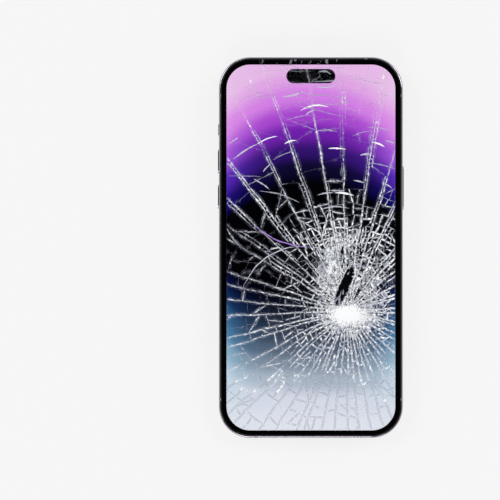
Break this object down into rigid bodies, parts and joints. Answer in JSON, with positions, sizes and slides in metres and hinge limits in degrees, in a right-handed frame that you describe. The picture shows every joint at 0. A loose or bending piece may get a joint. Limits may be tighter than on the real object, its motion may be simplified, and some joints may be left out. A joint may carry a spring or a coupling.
{
  "type": "shattered screen phone",
  "caption": "Slab phone lying on its back, its cover glass shattered from one blow near the right edge, with a raised rear camera block and working side buttons.",
  "frame": {"origin": "centre of the back glass's outer flat face", "axes": "+X to the right as the user looks at the screen, +Y to the earpiece end, +Z out of the screen"},
  "size_m": [0.0786, 0.1606, 0.0119],
  "materials": {
    "band_metal": "polished, dark violet coating",
    "break_plastic": "satin",
    "back_glass": "frosted glass over a deep violet print, opaque",
    "cracked_glass": "clear and polished, with white crushed edges along the cracks",
    "clear_adhesive": "clear",
    "lit_panel": "lit display with soft fields of pink, violet, black and pale blue",
    "black_plastic": "matte",
    "black_mesh": "fine mesh",
    "inner_metal": "satin",
    "shield_metal": "pressed sheet",
    "screw_metal": "polished",
    "magnet_metal": "nickel plated",
    "copper": "bare copper",
    "flex_film": "amber film",
    "white_strip": "stretch adhesive",
    "battery_wrap": "black wrap",
    "board_blue": "lacquered board",
    "chip_black": "moulded",
    "ring_metal": "polished, dark violet coating",
    "lens_glass": "clear and coated, over a black barrel",
    "flash_plastic": "milky, with fine rings",
    "sensor_window": "dark glass"
  },
  "bodies": {
    "phone": {"side_band": "band_metal", "antenna_breaks": "break_plastic", "back_glass": "back_glass", "back_adhesive": "black_plastic", "chassis_plate": "inner_metal", "cover_glass": "cracked_glass", "optical_adhesive": "clear_adhesive", "display_panel": "lit_panel", "display_frame": "black_plastic", "display_backing": "shield_metal", "display_gasket": "black_plastic", "display_cable": "flex_film", "earpiece_mesh": "black_mesh", "earpiece_speaker": "chip_black", "side_key_dome": "shield_metal", "volume_key_domes": "shield_metal", "ring_switch_block": "black_plastic", "charging_port_shell": "shield_metal", "charging_port_tongue": "chip_black", "bottom_screws": "screw_metal", "sound_hole_mesh": "black_mesh", "loudspeaker": "chip_black", "haptic_motor": "shield_metal", "bottom_microphone": "shield_metal", "port_cable": "flex_film", "battery": "battery_wrap", "battery_strips": "white_strip", "battery_cable": "flex_film", "charging_coil": "copper", "magnet_ring": "magnet_metal", "main_board": "board_blue", "board_chips": "chip_black", "board_shield": "shield_metal", "board_screws": "screw_metal", "front_camera": "chip_black", "infrared_camera": "chip_black", "upper_camera_ring": "ring_metal", "lower_camera_ring": "ring_metal", "inner_camera_ring": "ring_metal", "upper_camera_window": "lens_glass", "lower_camera_window": "lens_glass", "inner_camera_window": "lens_glass", "upper_camera_barrel": "black_plastic", "lower_camera_barrel": "black_plastic", "inner_camera_barrel": "black_plastic", "upper_camera_lens": "lens_glass", "lower_camera_lens": "lens_glass", "inner_camera_lens": "lens_glass", "upper_camera_module": "shield_metal", "lower_camera_module": "shield_metal", "inner_camera_module": "shield_metal", "flash_lens": "flash_plastic", "flash_lamp": "flex_film", "depth_sensor_window": "sensor_window", "depth_sensor": "chip_black", "rear_microphone": "chip_black"},
    "side_button": {"side_button": "band_metal"},
    "volume_up_button": {"volume_up_button": "band_metal"},
    "volume_down_button": {"volume_down_button": "band_metal"},
    "ring_switch": {"ring_switch": "band_metal"}
  },
  "joints": [
    {"name": "side_button_press", "type": "slide", "parent": "phone", "child": "side_button", "axis": [-1, 0, 0], "range_m": [0, 0.0003], "stiffness_N_per_m": 3000},
    {"name": "volume_up_press", "type": "slide", "parent": "phone", "child": "volume_up_button", "axis": [1, 0, 0], "range_m": [0, 0.0003], "stiffness_N_per_m": 3000},
    {"name": "volume_down_press", "type": "slide", "parent": "phone", "child": "volume_down_button", "axis": [1, 0, 0], "range_m": [0, 0.0003], "stiffness_N_per_m": 3000},
    {"name": "ring_switch_slide", "type": "slide", "parent": "phone", "child": "ring_switch", "axis": [0, 0, -1], "range_m": [0, 0.0011]}
  ]
}
